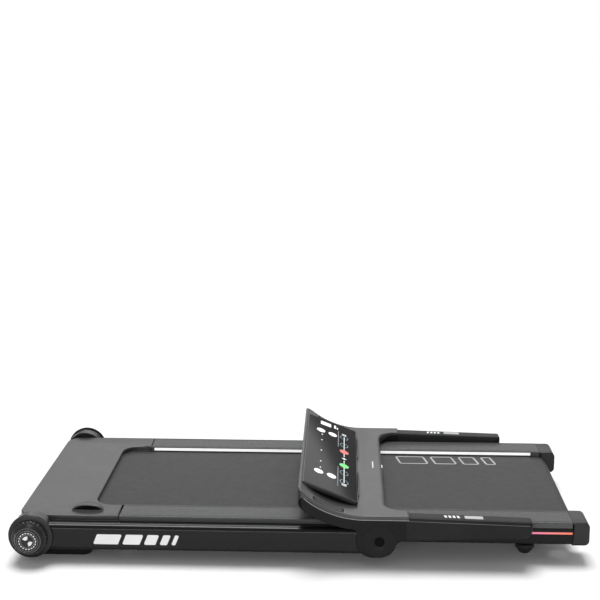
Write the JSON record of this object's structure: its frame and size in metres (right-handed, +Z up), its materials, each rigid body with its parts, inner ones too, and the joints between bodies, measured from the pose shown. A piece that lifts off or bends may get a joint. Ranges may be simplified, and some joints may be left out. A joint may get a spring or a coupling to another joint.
{
  "type": "folding treadmill",
  "caption": "Low folding home treadmill, parked flat: belt deck on rollers, side uprights hinged at the front, swept console with handrails.",
  "frame": {"origin": "on the floor, below the middle of the parked treadmill's outline", "axes": "+X towards the rear of the deck, -Y to the walker's left, +Z up"},
  "size_m": [1.395, 0.7646, 0.198],
  "materials": {
    "frame_black": "satin black powder coat",
    "upright_black": "gloss black powder coat",
    "cover_black": "black moulded plastic, satin",
    "cover_grey": "dark grey moulded plastic, fine grain",
    "rail_grey": "dark grey rail with a ribbed grip texture",
    "belt_black": "black PVC running belt, fine weave",
    "rubber_black": "soft black rubber",
    "grip_black": "black grip rubber, satin",
    "board_brown": "pressed board, waxed",
    "bright_steel": "bright turned steel",
    "dark_steel": "dark grey enamel",
    "knob_black": "black moulded knob, satin with gloss rings",
    "strip_white": "white trim strip",
    "strip_light": "coloured light strip",
    "glass_black": "black glass, polished",
    "panel_black": "black gloss plastic",
    "board_green": "circuit board",
    "switch_red": "red rocker",
    "button_white": "white push button"
  },
  "bodies": {
    "base": {"side_beam_left": "frame_black", "side_beam_right": "frame_black", "cross_members": "frame_black", "hub_bracket_left": "frame_black", "hub_bracket_right": "frame_black", "pivot_bolts": "bright_steel", "running_board": "board_brown", "board_cushions": "rubber_black", "running_belt": "belt_black", "front_axle": "bright_steel", "rear_axle": "bright_steel", "roller_bearings": "bright_steel", "axle_adjusters": "bright_steel", "motor_body": "dark_steel", "motor_mount": "dark_steel", "drive_belt": "rubber_black", "motor_controller": "board_green", "motor_hood": "cover_grey", "hood_scoop": "cover_grey", "belly_pan": "cover_black", "pan_screws": "bright_steel", "foot_rail_left": "rail_grey", "foot_rail_right": "rail_grey", "side_cover_left": "cover_black", "side_cover_right": "cover_black", "side_light_strips": "strip_light", "inner_light_strips": "strip_white", "end_cap_left": "cover_black", "end_cap_right": "cover_black", "rear_feet": "rubber_black", "wheel_axles": "bright_steel", "power_inlet": "panel_black", "switch_body": "panel_black", "breaker_collar": "panel_black"},
    "uprights": {"upright_left": "upright_black", "upright_right": "upright_black", "lower_hub_left": "cover_black", "lower_hub_right": "cover_black"},
    "console": {"console_top": "cover_grey", "console_bottom": "cover_black", "side_arm_left": "cover_black", "side_arm_right": "cover_black", "console_pins": "bright_steel", "grip_left": "grip_black", "grip_right": "grip_black", "handrail_tubes": "bright_steel", "pulse_plates": "bright_steel", "display_housing": "panel_black", "display_glass": "glass_black", "speaker_grilles": "cover_black", "safety_key_socket": "bright_steel"},
    "front_roller": {"front_roller": "bright_steel"},
    "rear_roller": {"rear_roller": "bright_steel"},
    "motor_rotor": {"motor_rotor": "bright_steel"},
    "rocker_switch": {"rocker_switch": "switch_red"},
    "breaker_button": {"breaker_button": "button_white"},
    "lock_knob_left": {"lock_knob_left": "knob_black"},
    "lock_knob_right": {"lock_knob_right": "knob_black"},
    "transport_wheel_left": {"transport_wheel_left": "rubber_black"},
    "transport_wheel_right": {"transport_wheel_right": "rubber_black"}
  },
  "joints": [
    {"name": "upright_fold", "type": "hinge", "parent": "base", "child": "uprights", "pos_m": [-0.6435, 0, 0.066], "axis": [0, -1, 0], "range_deg": [0, 75]},
    {"name": "console_turn", "type": "hinge", "parent": "uprights", "child": "console", "pos_m": [0.1925, 0, 0.066], "axis": [0, 1, 0], "range_deg": [0, 75]},
    {"name": "front_roller_spin", "type": "hinge", "parent": "base", "child": "front_roller", "pos_m": [-0.5315, 0, 0.07], "axis": [0, 1, 0], "continuous": true},
    {"name": "rear_roller_spin", "type": "hinge", "parent": "base", "child": "rear_roller", "pos_m": [0.6505, 0, 0.07], "axis": [0, 1, 0], "continuous": true},
    {"name": "motor_spin", "type": "hinge", "parent": "base", "child": "motor_rotor", "pos_m": [-0.6255, 0, 0.052], "axis": [0, 1, 0], "continuous": true},
    {"name": "knob_turn_left", "type": "hinge", "parent": "base", "child": "lock_knob_left", "pos_m": [-0.6435, -0.3523, 0.066], "axis": [0, -1, 0], "range_deg": [0, 180]},
    {"name": "knob_turn_right", "type": "hinge", "parent": "base", "child": "lock_knob_right", "pos_m": [-0.6435, 0.3523, 0.066], "axis": [0, 1, 0], "range_deg": [0, 180]},
    {"name": "wheel_spin_left", "type": "hinge", "parent": "base", "child": "transport_wheel_left", "pos_m": [-0.6615, -0.257, 0.023], "axis": [0, 1, 0], "continuous": true},
    {"name": "wheel_spin_right", "type": "hinge", "parent": "base", "child": "transport_wheel_right", "pos_m": [-0.6615, 0.257, 0.023], "axis": [0, 1, 0], "continuous": true},
    {"name": "switch_tip", "type": "hinge", "parent": "base", "child": "rocker_switch", "pos_m": [-0.6745, 0.105, 0.04], "axis": [0, 1, 0], "range_deg": [-14, 0]},
    {"name": "breaker_press", "type": "slide", "parent": "base", "child": "breaker_button", "axis": [1, 0, 0], "range_m": [0, 0.004], "stiffness_N_per_m": 250}
  ],
  "couplings": [
    {"joint": "console_turn", "follows": "upright_fold", "ratio": 1},
    {"joint": "rear_roller_spin", "follows": "front_roller_spin", "ratio": 1},
    {"joint": "motor_spin", "follows": "front_roller_spin", "ratio": 2.25}
  ]
}
